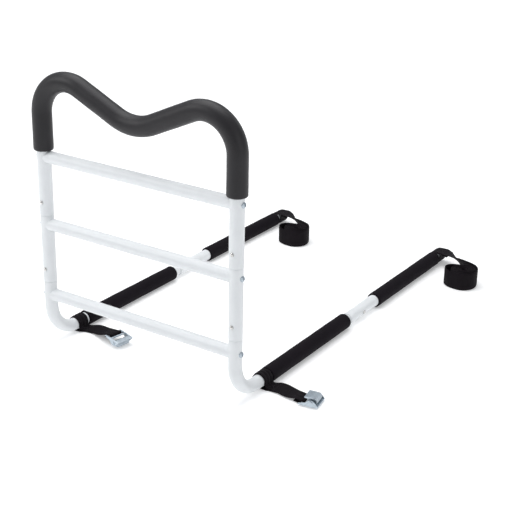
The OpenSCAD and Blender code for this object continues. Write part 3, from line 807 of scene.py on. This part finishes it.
def build_straps():
    """The four straps, each one length of webbing with its stitching."""
    thickness = sizes().webbing_t * 1000
    for side in SIDES:
        rows = even_rows(smooth_rows(short_strap(side), 6), 1.4)

        # Folds as deep as the width that the webbing has lost, past the lap and off the floor
        length_so_far = rows[:, 7]
        gathered = np.clip((WEBBING_W - rows[:, 6]) / 11, 0, 1)
        gathered *= np.clip((length_so_far - 36) / 12, 0, 1)
        gathered *= np.clip((rows[:, 2] - 2.8) / 5, 0, 1)

        def creases(u, s, at=length_so_far, gathered=gathered, phase=SIGN[side]):
            pulled = np.interp(s, at, gathered)
            folds = (0.5 + 0.5 * np.sin(u * 9.4 + 1.1 * np.sin(s * 0.07 + phase) + 0.9)) ** 1.5
            folds += 0.45 * (0.5 + 0.5 * np.sin(u * 17 - s * 0.09 + phase))
            return 0.85 * pulled * folds + 0.1 * np.sin(s * 0.17 + phase) * np.cos(u * 2)

        points, faces, maps, line = strap_surface(rows, thickness, creases)
        shell = Shell()
        shell.add(in_metres(points), faces, maps)
        strap = shell.piece(f"{side}_buckle_strap_webbing", "webbing", sharp_above=60)
        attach(strap, "root")
        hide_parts(f"{side}_buckle_strap")
        sewn = Shell()
        stitches(sewn, line, box_stitch(0.78, 106, 124), 0.95)
        seam = sewn.piece(f"{side}_buckle_strap_seam", "thread")
        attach(seam, "root")

        body, roll = long_strap(side)
        rows = np.vstack([smooth_rows(body, 6)[:-1], roll])
        rows = even_rows(rows, 2.0)

        def ripples(u, s):
            near = np.exp(-((s - 60) / 30) ** 2)
            return near * (0.35 * (1 + np.sin(u * 7 + s * 0.06)) + 0.1 * np.sin(s * 0.2))

        points, faces, maps, line = strap_surface(rows, thickness - 0.15, ripples)
        shell = Shell()
        shell.add(in_metres(points), faces, maps)
        strap = shell.piece(f"{side}_long_strap_webbing", "webbing", sharp_above=60)
        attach(strap, "root")
        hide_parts(f"{side}_long_strap", f"{side}_strap_roll")
        sewn = Shell()
        stitches(sewn, line, box_stitch(0.78, 93, 105), 0.9)
        seam = sewn.piece(f"{side}_long_strap_seam", "thread")
        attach(seam, "root")


# ---- buckles --------------------------------------------------------------------------------


def at_buckle(side, points):
    """Millimetres in a buckle's own frame to the frame's metres."""
    turn, over = buckle_matrix(side)
    return in_metres(np.asarray(points) @ (turn @ over).T + BUCKLE_PLACE[side])


def add_at(shell, side, shape):
    points, faces = shape
    shell.add(at_buckle(side, points), faces)


def toothed_edge(x0, x1, half_w, teeth, depth):
    """A plate's outline, x and y, with pointed teeth along its x0 edge."""
    y = np.linspace(-half_w, half_w, 2 * teeth + 1)
    x = x0 - depth * (np.arange(len(y)) % 2)
    return np.vstack([np.c_[x, y], [(x1, half_w), (x1, -half_w)]])


def lay_flat(shape, z):
    """Turns a prism drawn in x-z along y into one drawn in x-y standing on z."""
    points, faces = shape
    return np.c_[points[:, 0], points[:, 2], points[:, 1] + z], faces


def build_buckle_frame(side):
    """Pressed frame: two side plates with horns, strap bar, cross plates with gripping teeth."""
    half = sizes().buckle_w * 500
    reach = 0.3
    cheek = cut_corners([(-7, 1.2), (-7.2, 3.2), (0, 5.5), (5.5, 6.0), (9, 8.6), (12, 11.4),
                         (17, 12.2), (22.5, 11.2), (26.5, 6.2), (29.5, 2.6), (29.5, 0), (6, 0),
                         (-2, 0.4)], 2, 0.22)
    shell = Shell()
    for low, high in ((-half, -half + SHEET_T), (half - SHEET_T, half)):
        add_at(shell, side, prism(cheek, low, high))
    inner = half - SHEET_T
    bar_y = np.linspace(-inner - 0.2, inner + 0.2, 14)
    add_at(shell, side, capped_tube(np.c_[np.zeros(14), bar_y, np.full(14, STRAP_BAR_Z)],
                                    STRAP_BAR_D / 2, 20))
    near = np.array([(7.4, -inner - reach), (10.6, -inner - reach), (10.6, inner + reach),
                     (7.4, inner + reach)])
    far = toothed_edge(21.2, 29.5, inner + reach, 11, 1.1)
    for plate in (near, far):
        add_at(shell, side, lay_flat(prism(plate, 0, SHEET_T), 0.02))
    frame_piece = shell.piece(f"{side}_buckle_frame_steel", "buckle_steel",
                              bevel=0.00035)
    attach(frame_piece, "root")
    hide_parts(f"{side}_buckle_frame")


def lever_profile():
    """Side outline of the cam lever: thumb plate, then a nose whose teeth stand on an arc."""
    step = np.arange(29)
    a = np.radians(75 - step * 6.0)
    radius = 5.9 + 0.6 * np.abs(np.sin(step * np.pi / 4))
    arc = (NOSE_X, NOSE_Z) + np.c_[radius * np.cos(a), radius * np.sin(a)]
    top = [(3.8, 13.3), (3.1, 14.1), (3.4, 15.0), (4.6, 15.5), (9, 15.4), (15, 15.2)]
    under = [(16.7, 4.3), (15.2, 5.6), (14.2, 8.4), (12.4, 11), (9, 12.4)]
    return np.vstack([top, arc, under])


def build_lever(side):
    """Cast lever: toothed nose, thumb plate with grip ribs, and two ears at the pin."""
    half = sizes().lever_w * 500
    shell = Shell()
    add_at(shell, side, prism(lever_profile(), -half, half))
    ear = cut_corners([(7.5, 12.8), (12.7, 5.6), (17, 4.4), (21.5, 5.6), (23.3, 9),
                       (21.5, 13.4)])
    for low, high in ((-half - 0.05, -half + 2), (half - 2, half + 0.05)):
        add_at(shell, side, prism(ear, low, high))
    for x in np.arange(5.4, 14.5, 1.8):
        z = np.interp(x, (4.6, 9, 15), (15.5, 15.4, 15.2))
        rib = [(x - 0.55, z - 0.3), (x - 0.3, z + 0.42), (x + 0.3, z + 0.42), (x + 0.55, z - 0.3)]
        add_at(shell, side, prism(rib, -half + 2.2, half - 2.2))
    lever = shell.piece(f"{side}_cam_lever_cast", "buckle_steel", bevel=0.00025)
    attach(lever, f"{side}_cam_lever")
    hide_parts(f"{side}_cam_lever")


def build_lever_spring(side):
    """Torsion spring: wire on a helix round the pin, its turns one pitch apart."""
    turns, pitch, r, wire_r = 11, 1.15, 2.3, 0.42
    a = np.linspace(0, turns * 2 * np.pi, turns * 18)
    line = np.c_[PIN_X + r * np.cos(a), a / (2 * np.pi) * pitch - 6.3, PIN_Z + r * np.sin(a)]
    shell = Shell()
    add_at(shell, side, capped_tube(line, wire_r, 8, up=(0, 1, 0)))
    spring = shell.piece(f"{side}_lever_spring_wire", "spring_steel")
    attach(spring, "root")
    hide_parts(f"{side}_lever_spring")


# ---- end plugs ------------------------------------------------------------------------------


def build_end_plug(side):
    """Moulded plug: a profile turned about the arm's axis, with a rounded rim and a dished face."""
    low, high = box(f"{side}_end_plug")
    radius = (high[0] - low[0]) / 2 / MM
    reach = (high[1] - low[1]) / MM
    bore = 10.1
    profile = np.array([
        (0.0, reach - 1.1), (3.2, reach - 1.1), (4.0, reach - 0.5), (6.6, reach - 0.35),
        (8.2, reach - 0.05), (radius - 1.3, reach), (radius - 0.4, reach - 0.35),
        (radius, reach - 1.2), (radius, reach - 3.0), (bore, reach - 3.0), (bore, reach - 5),
        (bore - 0.5, reach - 5.3), (bore, reach - 5.8), (bore, reach - 9),
        (bore - 0.5, reach - 9.3), (bore, reach - 9.8), (bore - 0.6, 0.6), (bore - 1.4, 0.0),
        (0.0, 0.0)])
    sides = 56
    a = np.linspace(0, 2 * np.pi, sides, endpoint=False)
    r, y = profile[1:-1, 0], profile[1:-1, 1]
    rings = np.stack([r[:, None] * np.cos(a), np.broadcast_to(y[:, None], (len(r), sides)),
                      r[:, None] * np.sin(a)], axis=-1).reshape(-1, 3)
    points = np.vstack([rings, [(0, profile[0, 1], 0), (0, profile[-1, 1], 0)]])
    j = np.arange(sides)
    nj = (j + 1) % sides
    last = (len(r) - 1) * sides
    fans = np.vstack([np.c_[nj, j, np.full(sides, len(points) - 2)],
                      np.c_[last + j, last + nj, np.full(sides, len(points) - 1)]])
    centre = np.array([(low[0] + high[0]) / 2, low[1], (low[2] + high[2]) / 2])
    shell = Shell()
    shell.add(points * MM + centre, [grid_faces(len(r), sides), fans])
    plug = shell.piece(f"{side}_end_plug_moulded", "black_plastic", sharp_above=50)
    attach(plug, "root")
    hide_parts(f"{side}_end_plug")


# ---- finishes on the frame's own nodes ------------------------------------------------------


def finish_nodes():
    """Gives every CAD node that stays in view the finish of its record slot."""
    slots = {part["node"]: part["material_slot"] for part in frame["record"]["subparts"]}
    for name, obj in frame["nodes"].items():
        finish = FINISH[slots[name]]
        for target in obj if isinstance(obj, (list, tuple)) else [obj]:
            if not target.material_slots:
                target.data.materials.append(finish)
            for slot in target.material_slots:
                slot.material = finish


# ---- stage ----------------------------------------------------------------------------------


def area_light(name, place, aim, size, power):
    """A square soft light at a place, facing another."""
    data = bpy.data.lights.new(name, "AREA")
    data.shape = "SQUARE"
    data.size = size
    data.energy = power
    light = bpy.data.objects.new(name, data)
    bpy.context.scene.collection.objects.link(light)
    z = unit(np.array(place, float) - np.array(aim, float))
    x = unit(np.cross((0, 0, 1.0), z))
    y = np.cross(z, x)
    light.matrix_world = Matrix(np.vstack([np.column_stack([x, y, z, place]), (0, 0, 0, 1)]))


def build_stage():
    """Pale floor that glows more the further it is, soft lights and the camera."""
    scene = bpy.context.scene
    g = Graph("pale_floor")
    grain = g.noise(9, 3)
    away = g.add("ShaderNodeVectorMath", {"operation": "LENGTH"}, {0: g.place()}, "Value")
    glow = g.blend(away.ramp(0.9, 4.2), (0.26, 0.26, 0.26), (0.62, 0.62, 0.62))
    g.put(g.shader.inputs["Emission Color"], glow)
    g.put(g.shader.inputs["Emission Strength"], 1.0)
    floor_finish = g.finish(g.blend(grain, (0.90, 0.90, 0.90), (0.93, 0.93, 0.93)),
                            0.75 + 0.1 * grain)
    half = 60.0
    mesh = bpy.data.meshes.new("floor")
    mesh.from_pydata([(-half, -half, 0), (half, -half, 0), (half, half, 0), (-half, half, 0)], [],
                     [(0, 1, 2, 3)])
    mesh.materials.append(floor_finish)
    floor = bpy.data.objects.new("floor", mesh)
    scene.collection.objects.link(floor)

    world = bpy.data.worlds.new("studio")
    world.use_nodes = True
    world.node_tree.nodes["Background"].inputs["Color"].default_value = (0.93, 0.96, 1.0, 1)
    world.node_tree.nodes["Background"].inputs["Strength"].default_value = 0.42
    scene.world = world
    scene.view_settings.view_transform = "Standard"
    centre = (0.0, 0.0, 0.2)
    for name, place, size, power in (("top", (-0.5, 0.1, 2.6), 2.4, 54),
                                     ("key", (-1.9, -2.0, 1.9), 1.3, 26),
                                     ("side", (2.6, -0.9, 1.3), 1.5, 9),
                                     ("back", (0.8, 2.8, 1.8), 1.6, 8)):
        area_light(name, place, centre, size, power)

    data = bpy.data.cameras.new("camera")
    data.sensor_width = 36
    data.lens = 83.6
    data.clip_end = 200
    camera = bpy.data.objects.new("camera", data)
    camera.location = (1.20607, -1.85198, 1.00694)
    camera.rotation_euler = np.radians((67.5458, -1.0246, 33.7949))
    scene.collection.objects.link(camera)
    scene.camera = camera


# ---- operators and panel --------------------------------------------------------------------


class RAIL_OT_finishes(bpy.types.Operator):
    """Makes the finishes and puts them on the frame's own nodes"""

    bl_idname = "rail.finishes"
    bl_label = "Finishes"

    def execute(self, context):
        FINISH.clear()
        FINISH.update(make_finishes())
        finish_nodes()
        return {"FINISHED"}


class RAIL_OT_stage(bpy.types.Operator):
    """Builds the floor, the lights and the camera"""

    bl_idname = "rail.stage"
    bl_label = "Stage"

    def execute(self, context):
        build_stage()
        return {"FINISHED"}


class RAIL_OT_grip(bpy.types.Operator):
    """Builds the foam grip on the hand loop"""

    bl_idname = "rail.grip"
    bl_label = "Hand grip"

    def execute(self, context):
        build_grip()
        return {"FINISHED"}


class RAIL_OT_sleeves(bpy.types.Operator):
    """Builds the four foam sleeves on the arms"""

    bl_idname = "rail.sleeves"
    bl_label = "Arm sleeves"

    def execute(self, context):
        build_sleeves()
        return {"FINISHED"}


class RAIL_OT_straps(bpy.types.Operator):
    """Builds the two buckle straps and the two long, rolled straps"""

    bl_idname = "rail.straps"
    bl_label = "Straps"

    def execute(self, context):
        build_straps()
        return {"FINISHED"}


class RAIL_OT_buckles(bpy.types.Operator):
    """Builds the two cam buckles: frame, lever and spring"""

    bl_idname = "rail.buckles"
    bl_label = "Cam buckles"

    def execute(self, context):
        for side in SIDES:
            build_buckle_frame(side)
            build_lever(side)
            build_lever_spring(side)
        return {"FINISHED"}


class RAIL_OT_plugs(bpy.types.Operator):
    """Builds the moulded plugs in the arms' ends"""

    bl_idname = "rail.plugs"
    bl_label = "End plugs"

    def execute(self, context):
        for side in SIDES:
            build_end_plug(side)
        return {"FINISHED"}


OPERATORS = (RAIL_OT_finishes, RAIL_OT_stage, RAIL_OT_grip, RAIL_OT_sleeves, RAIL_OT_straps,
             RAIL_OT_buckles, RAIL_OT_plugs)


class RAIL_PT_panel(bpy.types.Panel):
    """The rail's operators and settings"""

    bl_label = "Bed Assist Rail"
    bl_idname = "RAIL_PT_panel"
    bl_space_type = "VIEW_3D"
    bl_region_type = "UI"
    bl_category = "Rail"

    def draw(self, context):
        for settings in (context.scene.rail_sizes, context.scene.rail_colours):
            column = self.layout.box().column()
            for name in settings.__annotations__:
                column.prop(settings, name)
        for cls in OPERATORS:
            self.layout.operator(cls.bl_idname)


CLASSES = (RailSizes, RailColours, *OPERATORS, RAIL_PT_panel)


def register():
    for cls in CLASSES:
        bpy.utils.register_class(cls)
    bpy.types.Scene.rail_sizes = PointerProperty(type=RailSizes)
    bpy.types.Scene.rail_colours = PointerProperty(type=RailColours)


def unregister():
    del bpy.types.Scene.rail_colours
    del bpy.types.Scene.rail_sizes
    for cls in reversed(CLASSES):
        bpy.utils.unregister_class(cls)


def main():
    """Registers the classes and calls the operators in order."""
    register()
    bpy.ops.rail.finishes()
    bpy.ops.rail.stage()
    bpy.ops.rail.grip()
    bpy.ops.rail.sleeves()
    bpy.ops.rail.straps()
    bpy.ops.rail.buckles()
    bpy.ops.rail.plugs()


if __name__ == "__main__":
    main()
